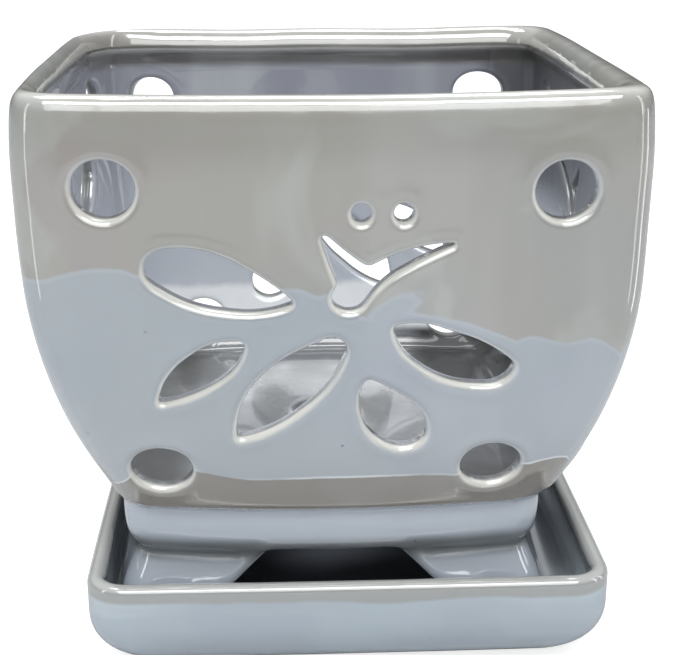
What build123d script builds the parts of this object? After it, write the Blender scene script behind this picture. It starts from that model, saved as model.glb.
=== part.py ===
from build123d import *
import os
from math import cos, pi, radians, sin, sqrt

# A square orchid pot of glazed stoneware, cut through with petal-shaped slots and round air holes,
# standing on four bracket feet in its own square saucer. Millimetres. The origin is on the surface
# below the middle of the pot, +Z is up and -Y is the front.

# Saucer
saucer_height = 27.8
saucer_corner = 11.0      # corner radius seen from above
saucer_floor = 7.0        # thickness under the feet
saucer_wall = 4.8
saucer_belly = 20.0       # rounding between the wall and the underside
saucer_lip = 2.2          # rounding of the rim
saucer_cove = 6.0         # rounding inside, floor to wall, and of the feet that stand there
saucer_ring = 9.0         # width of the ring that it stands on
saucer_hollow = 1.2       # depth of the hollow inside that ring
saucer_slip = 4.1         # how far the saucer sits to the right of the pot
foot_gap = 1.45           # saucer's wall to the skirt on the side where they are closest

# Pot: skirt and collar
foot_width = 122.6        # across the skirt at the saucer floor
waist_width = 117.0       # narrowest place, between skirt and collar
collar_width = 122.4      # across the rounded bead under the bowl
skirt_height = 24.5       # saucer floor to waist
collar_height = 14.5      # waist to the bowl's lower edge
foot_corner = 8.5         # corner radius of skirt and collar
foot_bow = 2.5            # each side of the skirt swells by this at its foot
foot_wall = 6.5

# Pot: arches between the feet
arch_rise = 25.0          # saucer floor to the flat top of the arch
arch_width = 79.0         # clear width between two feet
arch_shelf = 10.0         # from the foot in to the sloping side
arch_shelf_rise = 13.5    # saucer floor to that shelf
arch_slope = 12.0         # how far in the sloping side leads
arch_top_round = 7.0
arch_shelf_round = 10.0
arch_foot_round = 4.0

# Pot: bowl
bowl_width = 160.0        # at the belly, side to side
bowl_base_width = 127.4   # at its lower edge
rim_width = 157.0
bowl_height = 114.5       # lower edge to rim
belly_rise = 90.0         # lower edge to the widest place
belly_power = 2.62        # how quickly the wall turns upright
base_bow = 4.6            # each side swells by this at its middle, from the waist to the bowl's lower edge
rim_bow = 3.0             # the same at the rim
base_corner = 17.0        # the bowl's corner radius seen from above, at its lower edge
rim_corner = 10.5         # the same at the rim
wall = 6.2
floor_rise = 4.0          # lower edge of the bowl to the floor inside
floor_thickness = 7.0
floor_cove = 6.0          # rounding inside, floor to wall
drain_hole = 20.0
rim_round = 3.0           # outer edge of the rim

# Pot: rolled lip inside the rim
lip_drop = 6.5            # rim down to the fullest part of the lip
lip_roll = 1.8            # how far the lip stands in from the wall
lip_fall = 2.4            # how far the rim's inner edge lies back from the lip
lip_neck = 5.0            # fullest part of the lip down to the plain wall
mouth_slip = 1.6          # how far the mouth sits to the left of the bowl

# Pot: openings in each side, seen square on
rim_hole = 14.8           # round holes near the rim
rim_hole_across = 55.0
rim_hole_level = 136.3
base_hole_width = 16.0    # round holes near the lower edge, flattened by the sloping wall
base_hole_tall = 13.3
base_hole_across = 43.0
base_hole_level = 60.5
bead_hole = 4.8           # two small dots over the flower
bead_hole_across = 11.0
bead_hole_apart = 10.2
bead_hole_level = 130.9
flower_width = 92.2       # across all the petals
flower_tall = 59.2
flower_low = 66.7         # level of the lowest petal
flower_across = -0.8      # how far its middle lies from the middle of the side

overrun = 4.0             # how far a tool runs past what it cuts

# Sizes and levels that follow from these
saucer_width = foot_width + 2 * (saucer_slip + foot_gap + saucer_wall)
foot_level = saucer_floor
waist_level = foot_level + skirt_height
bowl_level = waist_level + collar_height
belly_level = bowl_level + belly_rise
rim_level = bowl_level + bowl_height
floor_level = bowl_level + floor_rise
under_level = floor_level - floor_thickness
lip_level = rim_level - lip_drop
neck_level = lip_level - lip_neck

# Where the sections of each stretch lie, as shares of its height
bowl_shares = (0, 0.08, 0.18, 0.31, 0.47, 0.7, 1)
space_shares = (0, 0.14, 0.32, 0.56, 1)
skirt_shares = (0, 0.38, 0.54, 0.7, 0.85, 1)
skirt_sweep_share = 0.62  # how much of the skirt, from the waist down, sweeps out to the foot
squaring_share = 0.55     # how much of the bowl, from its lower edge up, goes from round corners to square
recess_corner_share = 0.6
collar_shares = (0, 0.1, 0.35, 0.72, 1)
lip_shares = (0, 0.43, 0.7, 1)
collar_crest_share = 0.75
round_turns = (0, 45, 90)
belly_turns = (0, 18, 36, 54, 72, 90)

# Petal outlines, walked round from the petal's point, each arc through three of them in a row, as
# shares of the flower's width from its middle and of its height from its lowest point
left_petal_shares = [
    (-0.10, 0.705), (-0.18, 0.668), (-0.29, 0.672), (-0.39, 0.71), (-0.46, 0.773),
    (-0.497, 0.87), (-0.46, 0.938), (-0.37, 0.943), (-0.24, 0.867), (-0.155, 0.78),
]
lower_left_petal_shares = [
    (-0.479, 0.238), (-0.39, 0.277), (-0.3, 0.358), (-0.252, 0.445),
    (-0.236, 0.535), (-0.31, 0.533), (-0.385, 0.472), (-0.447, 0.375),
]
lower_petal_shares = [
    (-0.266, 0.059), (-0.19, 0.097), (-0.09, 0.203), (-0.015, 0.32), (0.027, 0.446),
    (0.028, 0.535), (-0.035, 0.533), (-0.14, 0.45), (-0.22, 0.33), (-0.258, 0.2),
]
drop_petal_shares = [
    (0.092, 0.36), (0.15, 0.314), (0.222, 0.233), (0.257, 0.15), (0.26, 0.06),
    (0.226, 0.012), (0.172, 0.01), (0.112, 0.072), (0.077, 0.19), (0.074, 0.29),
]
right_petal_shares = [
    (0.157, 0.6), (0.2, 0.611), (0.31, 0.573), (0.42, 0.505), (0.498, 0.41),
    (0.475, 0.34), (0.41, 0.314), (0.32, 0.337), (0.235, 0.412), (0.178, 0.51),
]
# The middle slot, a round body with two feelers
middle_slot_shares = [
    (0.014, 0.78), (-0.008, 0.73), (0.012, 0.68), (0.045, 0.664), (0.078, 0.685),
    (0.108, 0.755), (0.166, 0.834), (0.25, 0.902), (0.328, 0.956),
    (0.21, 0.936), (0.091, 0.856), (0.036, 0.92), (-0.02, 0.998),
    (-0.033, 0.998), (-0.035, 0.986), (-0.016, 0.9),
]


def between(low, high, shares):
    return [low + share * (high - low) for share in shares]


def bowed_square(half, corner, bow, level, aside=0):
    # A square whose sides swell outwards, with rounded corners
    edge = half - bow
    ring = [(-edge, -edge), (0, -half), (edge, -edge), (half, 0), (edge, edge),
            (0, half), (-edge, edge), (-half, 0), (-edge, -edge)]
    sides = [ThreePointArc(*ring[start:start + 3]) for start in range(0, 8, 2)]
    plan = make_face(sides)
    return Pos(aside, 0, level) * fillet(plan.vertices(), corner)


def plain_square(inset, level, corner):
    # A level section of the saucer, drawn in from its greatest width
    side = saucer_width - 2 * inset
    return Pos(saucer_slip, 0, level) * RectangleRounded(side, side, corner)


def skin(sections):
    # Straight from one section to the next, so that a curved wall stays light
    return loft(sections, ruled=True)


def bowl_half(level):
    # Half the bowl's width: it opens quickly from its lower edge, is widest at the belly
    # and draws in a little to the rim
    rise = (level - bowl_level) / belly_rise
    if rise < 1:
        swell = 1 - (1 - rise) ** belly_power
        return (bowl_base_width + (bowl_width - bowl_base_width) * swell) / 2
    fall = (level - belly_level) / (rim_level - belly_level)
    return (bowl_width - (bowl_width - rim_width) * fall ** 2) / 2


def squaring(level):
    # 0 at the bowl's lower edge, 1 where its plan has become as square as the rim's
    share = min(max((level - bowl_level) / bowl_height / squaring_share, 0), 1)
    return share * share * (3 - 2 * share)


def bowl_bow(level):
    return base_bow + (rim_bow - base_bow) * squaring(level)


def bowl_corner(level):
    return base_corner + (rim_corner - base_corner) * squaring(level)


def skirt_sweep(level):
    # 0 at the waist, 1 where the skirt has reached its full width
    drop = (waist_level - level) / skirt_height / skirt_sweep_share
    return (1 - cos(pi * min(max(drop, 0), 1))) / 2


def skirt_half(level):
    return (waist_width + (foot_width - waist_width) * skirt_sweep(level)) / 2


def skirt_bow(level):
    return base_bow + (foot_bow - base_bow) * skirt_sweep(level)


def collar_half(level):
    climb = (level - waist_level) / collar_height / collar_crest_share
    return (waist_width + (collar_width - waist_width) * sqrt(1 - (1 - climb) ** 2)) / 2


def outside():
    feet = []
    for turn in round_turns[:-1]:
        z = foot_level + saucer_cove * (1 - cos(radians(turn)))
        tuck = saucer_cove * (1 - sin(radians(turn)))
        feet.append(bowed_square(skirt_half(z) - tuck, foot_corner - tuck, foot_bow, z))
    skirt = skin(feet + [bowed_square(skirt_half(z), foot_corner, skirt_bow(z), z)
                         for z in between(foot_level + saucer_cove, waist_level, skirt_shares)])
    collar = skin([bowed_square(collar_half(z), foot_corner, base_bow, z)
                   for z in between(waist_level, bowl_level, collar_shares)])
    bowl = [bowed_square(bowl_half(z), bowl_corner(z), bowl_bow(z), z)
            for z in between(bowl_level, rim_level - rim_round, bowl_shares)]
    for turn in round_turns[1:]:
        z = rim_level - rim_round * (1 - sin(radians(turn)))
        tuck = rim_round * (1 - cos(radians(turn)))
        bowl.append(bowed_square(bowl_half(z) - tuck, rim_corner - tuck, rim_bow, z))
    return skirt + collar + skin(bowl)


def inside():
    # The planting space: a cove round the floor, plain walls, and the lip rolled in round its mouth
    plain_level = floor_level + floor_cove
    corner = bowl_corner(plain_level) - wall
    space = []
    for turn in round_turns[:-1]:
        z = floor_level + floor_cove * (1 - cos(radians(turn)))
        tuck = floor_cove * (1 - sin(radians(turn)))
        half = bowl_half(plain_level) - wall - tuck
        space.append(bowed_square(half, corner - tuck, bowl_bow(plain_level), z))
    for z in between(plain_level, neck_level, space_shares):
        space.append(bowed_square(bowl_half(z) - wall, bowl_corner(z) - wall, bowl_bow(z), z))
    for share, z in zip(lip_shares[1:], between(neck_level, rim_level, lip_shares)[1:]):
        roll = lip_roll * min(share * (lip_drop + lip_neck) / lip_neck, 1)
        past = max(z - lip_level, 0) / lip_drop
        half = bowl_half(z) - wall - roll + lip_fall * past ** 2
        space.append(bowed_square(half, rim_corner - wall, rim_bow, z, -mouth_slip * share))
    return skin(space) + extrude(space[-1], overrun)


def under_floor():
    levels = between(foot_level, waist_level, skirt_shares)
    hollow = [bowed_square(skirt_half(z) - foot_wall, foot_corner - foot_wall / 2, skirt_bow(z), z)
              for z in levels]
    top = hollow[-1]
    return skin(hollow) + extrude(top, under_level - waist_level)


def arches():
    # Bracket feet: the flat top falls in a double curve to a shelf, then straight down to the floor
    base = foot_level - overrun
    shelf = foot_level + arch_shelf_rise
    top = foot_level + arch_rise
    foot = arch_width / 2
    bend = foot - arch_shelf
    right = [(bend - arch_slope, top), (bend, shelf), (foot, shelf), (foot, base)]
    left = [(-across, level) for across, level in reversed(right)]
    rounds = [arch_foot_round, arch_shelf_round, arch_top_round]
    curve = FilletPolyline(*left, *right, radius=rounds + rounds[::-1])
    arch = make_face([*curve.edges(), Line(right[-1], left[0])])
    tunnel = extrude(Plane.XZ * arch, foot_width / 2 + overrun, both=True)
    return [tunnel, Rot(0, 0, 90) * tunnel]


def slot(shares):
    points = [(flower_across + across * flower_width, flower_low + up * flower_tall)
              for across, up in shares]
    points.append(points[0])
    return make_face([ThreePointArc(*points[start:start + 3]) for start in range(0, len(shares), 2)])


def flat_hole(across, level):
    # A round hole, a little flattened, in four arcs
    right = base_hole_width / 2
    top = base_hole_tall / 2
    turns = [radians(turn) for turn in range(0, 405, 45)]
    points = [(across + right * cos(turn), level + top * sin(turn)) for turn in turns]
    return make_face([ThreePointArc(*points[start:start + 3]) for start in range(0, 8, 2)])


def openings():
    # Everything that is cut through one side, as a flat drawing
    petals = [left_petal_shares, lower_left_petal_shares, lower_petal_shares,
              drop_petal_shares, right_petal_shares, middle_slot_shares]
    cuts = [slot(shares) for shares in petals]
    for side in (-1, 1):
        cuts.append(Pos(side * rim_hole_across, rim_hole_level) * Circle(rim_hole / 2))
        cuts.append(flat_hole(side * base_hole_across, base_hole_level))
        cuts.append(Pos(bead_hole_across + side * bead_hole_apart / 2, bead_hole_level)
                    * Circle(bead_hole / 2))
    return cuts


def side_cutters():
    # The tool stands in front of the belly and reaches in past the wall at the lowest hole
    start = bowl_width / 2 + overrun
    depth = start - bowl_half(base_hole_level - base_hole_tall / 2) + wall + overrun
    plane = Plane.XZ.offset(start)
    tools = [extrude(plane * cut, -depth) for cut in openings()]
    return [Rot(0, 0, turn) * tool for turn in (0, 90, 180, 270) for tool in tools]


def make_pot():
    pot = outside() - inside() - under_floor() - arches()
    drain = Pos(0, 0, under_level - overrun) * Cylinder(
        drain_hole / 2, floor_thickness + 2 * overrun, align=(Align.CENTER, Align.CENTER, Align.MIN))
    return pot - drain - side_cutters()


def make_saucer():
    dish = []
    for turn in belly_turns:
        inset = saucer_belly * (1 - sin(radians(turn)))
        dish.append(plain_square(inset, saucer_belly * (1 - cos(radians(turn))), saucer_corner))
    recess = []
    for turn in round_turns:
        tuck = saucer_cove * (1 - sin(radians(turn)))
        z = saucer_floor + saucer_cove * (1 - cos(radians(turn)))
        corner = saucer_corner - saucer_wall - tuck * recess_corner_share
        recess.append(plain_square(saucer_wall + tuck, z, corner))
    for turn in round_turns:
        tuck = saucer_lip * (1 - cos(radians(turn)))
        z = saucer_height - saucer_lip * (1 - sin(radians(turn)))
        dish.append(plain_square(tuck, z, saucer_corner - tuck))
        recess.append(plain_square(saucer_wall - tuck, z, saucer_corner - saucer_wall + tuck))
    ring = saucer_belly + saucer_ring
    hollow = extrude(plain_square(ring, 0, saucer_corner / 2), saucer_hollow)
    return skin(dish) - skin(recess) - hollow


os.makedirs("parts", exist_ok=True)
for name, make in (("saucer", make_saucer), ("pot", make_pot)):
    piece = make()
    solids = piece.solids()
    print(name, "solids", len(solids), "volume", round(sum(s.volume for s in solids)), piece.bounding_box())
    export_step(piece, f"parts/{name}.step")
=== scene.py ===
import bmesh
import bpy
from math import atan2, ceil, cos, pi, sin
import numpy as np
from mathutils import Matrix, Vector
from mathutils.geometry import delaunay_2d_cdt


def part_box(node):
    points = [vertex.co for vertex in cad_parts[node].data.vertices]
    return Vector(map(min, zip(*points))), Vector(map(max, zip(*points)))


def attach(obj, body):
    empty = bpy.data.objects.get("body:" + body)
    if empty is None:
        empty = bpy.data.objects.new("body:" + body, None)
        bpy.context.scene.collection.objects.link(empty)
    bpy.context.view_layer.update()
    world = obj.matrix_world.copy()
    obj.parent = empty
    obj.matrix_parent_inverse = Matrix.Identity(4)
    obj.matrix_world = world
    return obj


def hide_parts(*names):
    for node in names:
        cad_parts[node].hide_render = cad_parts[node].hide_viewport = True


# Square orchid pot with cut slots, standing in its saucer, both slip-cast and glazed in grey.
# Shapes below are in millimetres, the scene is in metres.
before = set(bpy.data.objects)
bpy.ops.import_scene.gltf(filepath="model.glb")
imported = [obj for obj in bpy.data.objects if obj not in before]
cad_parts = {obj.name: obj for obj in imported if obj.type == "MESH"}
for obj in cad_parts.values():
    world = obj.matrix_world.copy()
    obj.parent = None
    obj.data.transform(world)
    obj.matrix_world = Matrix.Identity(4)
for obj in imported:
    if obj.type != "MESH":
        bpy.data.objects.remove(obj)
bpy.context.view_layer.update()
mm = 0.001
potLow, potHigh = (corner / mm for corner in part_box("pot"))
saucerLow, saucerHigh = (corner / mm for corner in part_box("saucer"))

potForm = {
    "footLevel": potLow.z,
    "rimLevel": potHigh.z,
    "waistLevel": 31.5,
    "bowlLevel": 46.0,
    "bellyLevel": 136.0,
    "footWidth": 122.6,
    "waistWidth": 117.0,
    "collarWidth": 122.4,
    "bowlBaseWidth": 127.4,
    "bowlWidth": potHigh.x - potLow.x,
    "rimWidth": 157.0,
    "bellyPower": 2.62,      # how fast the wall turns upright
    "sweepShare": 0.62,      # how much of the skirt sweeps out to the foot
    "collarCrest": 0.75,     # share of the bead's height where it is fullest
    "footBow": 2.5,
    "baseBow": 4.6,
    "rimBow": 3.0,
    "footCorner": 8.5,
    "baseCorner": 17.0,
    "rimCorner": 10.5,
    "squaringShare": 0.55,   # how much of the bowl goes from round corners to square
    "wall": 6.2,
    "footWall": 6.5,
    "floorLevel": 50.0,
    "underLevel": 43.0,
    "floorCove": 6.0,
    "drainRadius": 10.0,
    "drainRound": 1.5,
    "underCove": 4.0,
    "hollowLevel": 37.0,     # where the arched walls underneath end and the plain rings begin
    "spaceLevel": 51.6,      # the same inside, above the floor
    "seamSoftness": 0.5,     # how far the glaze rounds off the creases round the bead
    "cornerBlend": 0.6,
    "coveCornerShare": 0.9,
}

archForm = {
    "rise": 25.0,
    "width": 79.0,
    "shelf": 10.0,
    "shelfRise": 13.5,
    "slope": 12.0,
    "topRound": 7.0,
    "shelfRound": 10.0,
    "footRound": 4.0,
    "soleCorner": 5.4,       # the foot's own corner, seen square on
    "soleRound": 5.0,        # rounding of the foot outside
    "soleRoundInside": 1.0,
    "soleRun": 0.6,
    "soleBare": 0.5,         # how far in from its edge the sole has no glaze
    "spacing": 1.2,
    "soleSpacing": 2.0,
}

slotForm = {
    "rimHole": (14.8, 55.0, (137.0, 135.8)),     # width, how far from the middle, the two levels
    "baseHole": (16.0, 13.3, (-45.2, 40.9), 60.5),    # width, height, the two middles, level
    "beadHole": (4.8, 11.0, 10.2, 130.9),        # width, middle of the two, how far apart, level
    "flowerWidth": 92.2,
    "flowerTall": 59.2,
    "flowerLow": 66.7,
    "flowerAcross": -0.8,
    "edgeRound": 1.5,        # melted edge outside
    "edgeRoundInside": 1.2,
    "swell": 0.3,            # glaze that gathers round each opening
    "swellPlace": 2.4,
    "swellReach": 1.1,
    "swellInside": 0.5,      # how much less of it there is inside
    "spacing": 0.85,         # between points along an edge
    "dotSpacing": 0.6,
    "relaxes": 4,            # how often the corners of a slot are eased
    "pointShare": 0.85,
    "easeStep": 0.25,
    "flatTurn": 0.01,        # turns smaller than this count as straight
    "gatherAndLitSide": (-0.35, -0.94),    # the low side of an opening, where the glaze ran down and gathered and its pale edge is also painted as highlight
}

# Petals as shares of the flower's width and height, walked round from the point of the petal
petalShares = {
    "leftPetal": [
        (-0.10, 0.705), (-0.18, 0.668), (-0.29, 0.672), (-0.39, 0.71), (-0.46, 0.773),
        (-0.497, 0.87), (-0.46, 0.938), (-0.37, 0.943), (-0.24, 0.867), (-0.155, 0.78)],
    "lowerLeftPetal": [
        (-0.479, 0.238), (-0.39, 0.277), (-0.3, 0.358), (-0.252, 0.445),
        (-0.236, 0.535), (-0.31, 0.533), (-0.385, 0.472), (-0.447, 0.375)],
    "lowerPetal": [
        (-0.266, 0.059), (-0.19, 0.097), (-0.09, 0.203), (-0.015, 0.32), (0.027, 0.446),
        (0.028, 0.535), (-0.035, 0.533), (-0.14, 0.45), (-0.22, 0.33), (-0.258, 0.2)],
    "dropPetal": [
        (0.092, 0.36), (0.15, 0.314), (0.222, 0.233), (0.257, 0.15), (0.26, 0.06),
        (0.226, 0.012), (0.172, 0.01), (0.112, 0.072), (0.077, 0.19), (0.074, 0.29)],
    "rightPetal": [
        (0.157, 0.6), (0.2, 0.611), (0.31, 0.573), (0.42, 0.505), (0.498, 0.41),
        (0.475, 0.34), (0.41, 0.314), (0.32, 0.337), (0.235, 0.412), (0.178, 0.51)],
    "middleSlot": [
        (0.014, 0.78), (-0.008, 0.73), (0.012, 0.68), (0.045, 0.664), (0.078, 0.685),
        (0.108, 0.755), (0.166, 0.834), (0.25, 0.902), (0.328, 0.956),
        (0.21, 0.936), (0.091, 0.856), (0.036, 0.92), (-0.02, 0.998),
        (-0.033, 0.998), (-0.035, 0.986), (-0.016, 0.9)],
}

# The rim from the outer wall over the top and down inside: how far in from the outer face and how
# far down
rimForm = {
    "outline": [(0.0, 9.0), (0.0, 6.0), (0.05, 3.6), (0.5, 1.6), (1.6, 0.35), (3.0, 0.0), (4.6, 0.35),
                (6.0, 1.7), (7.2, 3.6), (8.0, 5.6), (8.1, 7.2), (7.5, 9.0), (6.7, 10.6),
                (potForm["wall"], 12.0)],
    "steps": 34,
    "relaxes": 5,
    "crests": [(1.2, 0.8), (8.1, 6.6)],      # where the glaze runs thin
    "crestReach": 0.9,
    "mouthSlip": 1.6,        # the mouth sits this far to the left
    "mouthIn": (0.5, 5.0),   # over how far in, and how far down, it moves there
    "mouthDown": (12.0, 6.0),
    "mouthCorner": 5.0,      # how much rounder its corners are than the wall's
    "insideFrom": (4.0, 7.0),        # further in and down than this is the inside
    "insideFade": (7.4, 8.2),
}

meshForm = {
    "sideColumns": 44,
    "cornerColumns": 6,      # from the end of a side to the middle of its corner
    "rowStep": 2.6,
    "fineRowStep": 0.8,      # in the creases and curves near the foot
    "finePast": (4.0, 3.0),  # that far below the waist and above the bowl's lower edge
    "edgeSteps": 4,
    "tunnelSteps": 3,
    "ringSteps": (0.8, 1.9, 3.2),
    "ringClear": 0.93,       # share of its distance that a ring keeps from the next opening
    "ringBorder": 0.5,
    "netClear": 1.0,         # how far the even net keeps from the rings
    "netBorder": 0.3,
    "footSkip": 4,           # points at the ends of the foot's line without rings
    "floorRings": 12,
    "coveSteps": 7,
    "drainSteps": 6,
    "weld": 0.004,
    "farAway": 12.0,         # distances from an edge are told up to here
}


def report(stage):
    print("orchid pot:", stage)


def smoothStep(low, high, value):
    share = np.clip((value - low) / (high - low), 0, 1)
    return share * share * (3 - 2 * share)


def skirtSweep(level):
    # 0 at the waist, 1 where the skirt has reached its full width
    f = potForm
    drop = (f["waistLevel"] - level) / (f["waistLevel"] - f["footLevel"]) / f["sweepShare"]
    return (1 - np.cos(pi * np.clip(drop, 0, 1))) / 2


def squaring(level):
    # 0 at the bowl's lower edge, 1 where its plan is as square as the rim's
    f = potForm
    tall = (f["rimLevel"] - f["bowlLevel"]) * f["squaringShare"]
    return smoothStep(f["bowlLevel"], f["bowlLevel"] + tall, level)


# Half the pot's width outside at each level, with sharp creases
def rawHalf(level):
    f = potForm
    skirt = f["waistWidth"] + (f["footWidth"] - f["waistWidth"]) * skirtSweep(level)
    climb = (level - f["waistLevel"]) / (f["bowlLevel"] - f["waistLevel"]) / f["collarCrest"]
    swell = np.sqrt(np.clip(1 - (1 - climb) ** 2, 0, 1))
    bead = f["waistWidth"] + (f["collarWidth"] - f["waistWidth"]) * swell
    rise = np.clip((level - f["bowlLevel"]) / (f["bellyLevel"] - f["bowlLevel"]), 0, 1)
    bowl = f["bowlBaseWidth"] + (f["bowlWidth"] - f["bowlBaseWidth"]) * (1 - (1 - rise) ** f["bellyPower"])
    fall = np.clip((level - f["bellyLevel"]) / (f["rimLevel"] - f["bellyLevel"]), 0, 1)
    bowl = bowl - (f["bowlWidth"] - f["rimWidth"]) * fall ** 2
    return np.where(level < f["waistLevel"], skirt, np.where(level < f["bowlLevel"], bead, bowl)) / 2


# The same as a table, softened where the glaze fills the creases
profileForm = {
    "step": 0.05,
    "spare": 4,              # how far it runs on past the foot and the rim
    "reach": 60,             # steps that the softening spans each way
}
profileLevels = np.arange(potForm["footLevel"] - profileForm["spare"],
                          potForm["rimLevel"] + profileForm["spare"], profileForm["step"])
softReach = np.arange(-profileForm["reach"], profileForm["reach"] + 1) * profileForm["step"]
softWeights = np.exp(-(softReach / potForm["seamSoftness"]) ** 2 / 2)
softWeights /= softWeights.sum()
profileHalves = np.convolve(np.pad(rawHalf(profileLevels), profileForm["reach"], mode="edge"),
                            softWeights, mode="valid")


def outerHalf(level):
    return np.interp(level, profileLevels, profileHalves)


def outerBow(level):
    f = potForm
    return (f["baseBow"] + (f["footBow"] - f["baseBow"]) * skirtSweep(level)
            + (f["rimBow"] - f["baseBow"]) * squaring(level))


def bowlCorner(level):
    f = potForm
    return f["baseCorner"] + (f["rimCorner"] - f["baseCorner"]) * squaring(level)


def outerCorner(level):
    f = potForm
    above = smoothStep(f["bowlLevel"] - f["cornerBlend"], f["bowlLevel"] + f["cornerBlend"], level)
    return f["footCorner"] + (bowlCorner(level) - f["footCorner"]) * above


def coveTuck(level):
    # How far the cove round the floor stands in from the wall
    f = potForm
    depth = np.clip(f["floorLevel"] + f["floorCove"] - level, 0, f["floorCove"])
    return f["floorCove"] - np.sqrt(f["floorCove"] ** 2 - depth ** 2)


def aboveCove(level):
    return np.maximum(level, potForm["floorLevel"] + potForm["floorCove"])


outerWall = {"half": outerHalf, "corner": outerCorner, "bow": outerBow}
spaceWall = {
    "half": lambda level: outerHalf(aboveCove(level)) - potForm["wall"] - coveTuck(level),
    "corner": lambda level: (bowlCorner(aboveCove(level)) - potForm["wall"]
                             - coveTuck(level) * potForm["coveCornerShare"]),
    "bow": lambda level: outerBow(aboveCove(level)),
}
hollowWall = {
    "half": lambda level: rawHalf(np.minimum(level, potForm["waistLevel"] - 0.01)) - potForm["footWall"],
    "corner": lambda level: potForm["footCorner"] - potForm["footWall"] / 2 + 0 * level,
    "bow": lambda level: outerBow(np.minimum(level, potForm["waistLevel"])),
}


# A square with bowed sides and round corners, as arcs: the side's radius, the corner's middle, and
# the angle where they meet
def plan(half, corner, bow):
    edge = half - bow
    radius = (edge ** 2 + bow ** 2) / (2 * bow)
    back = radius - half
    middle = (np.sqrt(2 * (radius - corner) ** 2 - back ** 2) - back) / 2
    return radius, middle, np.arctan2(middle, middle + back)


def planOf(wall, level):
    return plan(wall["half"](level), wall["corner"](level), wall["bow"](level))


def sideEdge(wall, level):
    # Where the front side of a wall ends, in the middle of its round corner
    _, middle, _ = planOf(wall, level)
    return middle + wall["corner"](level) * sin(pi / 4)


def planAcross(radius, middle, turn, corner):
    # Points along the front side from one corner's middle to the other's, as distances from the middle
    side = radius * np.sin(turn * np.linspace(-1, 1, meshForm["sideColumns"] + 1))
    bend = middle + corner * np.sin(np.linspace(turn, pi / 4, meshForm["cornerColumns"] + 1)[1:])
    return np.concatenate([-bend[::-1], side, bend])


def sideAcross(wall, level):
    return planAcross(*planOf(wall, level), wall["corner"](level))


def planDepth(across, half, radius, middle, turn, corner):
    # How far back each point of the front side lies
    away = np.abs(across)
    side = radius - half - np.sqrt(radius ** 2 - np.minimum(away, radius * np.sin(turn)) ** 2)
    bend = -middle - np.sqrt(corner ** 2 - np.clip(away - middle, 0, corner) ** 2)
    return np.where(away > radius * np.sin(turn), bend, side)


def sidePoints(wall, flat):
    # Points of the front side's drawing (across, level) set on the wall
    across, level = flat[:, 0], flat[:, 1]
    depth = planDepth(across, wall["half"](level), *planOf(wall, level), wall["corner"](level))
    return np.stack([across, depth, level], 1)


def turned(points, quarters):
    # Quarter turns round the pot's middle, from the front side to the right side and on
    cosine, sine = [(1, 0), (0, 1), (-1, 0), (0, -1)][quarters]
    flat = points[:, :2] @ np.array([[cosine, sine], [-sine, cosine]])
    return np.column_stack([flat, points[:, 2]])


def ring(half, corner, level, bow, aside=0.0):
    # Once round at one level, from the middle of the corner at the left end of the front side
    radius, middle, turn = plan(half, corner, bow)
    across = planAcross(radius, middle, turn, corner)[:-1]
    quarter = np.stack([across, planDepth(across, half, radius, middle, turn, corner),
                        np.full(len(across), float(level))], 1)
    return np.vstack([turned(quarter, q) for q in range(4)]) + (aside, 0, 0)


def quadsBetween(rows, closed):
    # Faces between rows that have as many points each
    count = len(rows[0])
    steps = np.arange(count if closed else count - 1)
    after = (steps + 1) % count
    return np.vstack([np.stack([row * count + steps, row * count + after,
                                (row + 1) * count + after, (row + 1) * count + steps], 1)
                      for row in range(len(rows) - 1)])


def quarterRound(radius, turns):
    # Round a corner: how far in from where it begins, and from where it ends
    return [(radius * (1 - sin(turn)), radius * (1 - cos(turn))) for turn in turns]


class Shell:
    # Gathers points, faces and what the glaze needs to know at each point, and is welded at the end
    marks = ("edge", "under", "crest", "inner", "sole")

    def __init__(self):
        self.points, self.faces, self.values, self.size = [], [], [], 0

    def add(self, points, faces, edge=meshForm["farAway"], under=0.0, crest=0.0, inner=0.0, sole=0.0):
        columns = [np.broadcast_to(value, len(points)) for value in (edge, under, crest, inner, sole)]
        self.points.append(points)
        self.values.append(np.stack(columns, 1))
        self.faces += (np.asarray(faces) + self.size).tolist()
        self.size += len(points)

    def strip(self, rows, **marks):
        # Closed rows joined by quads; a mark has one value for each row
        spread = {name: np.repeat(np.broadcast_to(value, len(rows)), len(rows[0]))
                  for name, value in marks.items()}
        self.add(np.vstack(rows), quadsBetween(rows, True), **spread)

    def turnedBy(self, quarters):
        other = Shell()
        other.points = [turned(points, quarters) for points in self.points]
        other.faces, other.values, other.size = self.faces, self.values, self.size
        return other


# Outlines of the openings, seen square on
def arcThrough(first, middle, last, steps=12):
    first, middle, last = (np.array(point, float) for point in (first, middle, last))
    b, c = middle - first, last - first
    cross = b[0] * c[1] - b[1] * c[0]
    centre = np.array([c[1] * (b @ b) - b[1] * (c @ c), b[0] * (c @ c) - c[0] * (b @ b)]) / (2 * cross)
    radius = np.hypot(*centre)
    begin = atan2(-centre[1], -centre[0])
    end = atan2(*(c - centre)[::-1])
    sweep = (end - begin) % (2 * pi) if cross > 0 else -((begin - end) % (2 * pi))
    angles = begin + sweep * np.arange(steps) / steps
    return first + centre + radius * np.stack([np.cos(angles), np.sin(angles)], 1)


def alongLine(line):
    return np.concatenate([[0], np.cumsum(np.hypot(*np.diff(line, axis=0).T))])


def pointsAlong(line, places):
    # Points at the given distances along a line
    along = alongLine(line)
    return np.stack([np.interp(places, along, line[:, axis]) for axis in (0, 1)], 1)


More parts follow.
